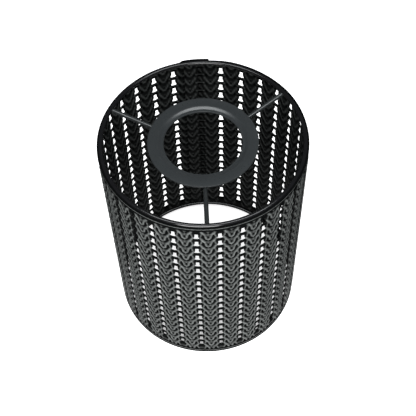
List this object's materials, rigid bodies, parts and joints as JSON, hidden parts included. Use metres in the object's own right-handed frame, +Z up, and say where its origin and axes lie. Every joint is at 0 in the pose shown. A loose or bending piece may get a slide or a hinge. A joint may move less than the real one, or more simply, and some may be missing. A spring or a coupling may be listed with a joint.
{
  "type": "lampshade",
  "caption": "Small black cylindrical lampshade: openwork knit-look panel on two wire rings, with a three-arm spider and a dished fitter ring.",
  "frame": {"origin": "on the shade's axis, in the plane of its lower rim", "axes": "+Z up along the shade's axis, from the open lower rim to the rim with the spider; -Y towards the front spider arm"},
  "size_m": [0.11, 0.111, 0.1431],
  "materials": {
    "sheet": "matt black coated yarn with a faint sheen",
    "wire": "glossy black enamel",
    "fitter": "satin dark grey enamel"
  },
  "bodies": {
    "root": {"openwork_panel": "sheet", "top_edge_band": "sheet", "bottom_edge_band": "sheet", "top_wire_ring": "wire", "bottom_wire_ring": "wire", "gallery_ring": "fitter", "spider_arm_front": "wire", "spider_arm_right": "wire", "spider_arm_left": "wire"}
  },
  "joints": []
}
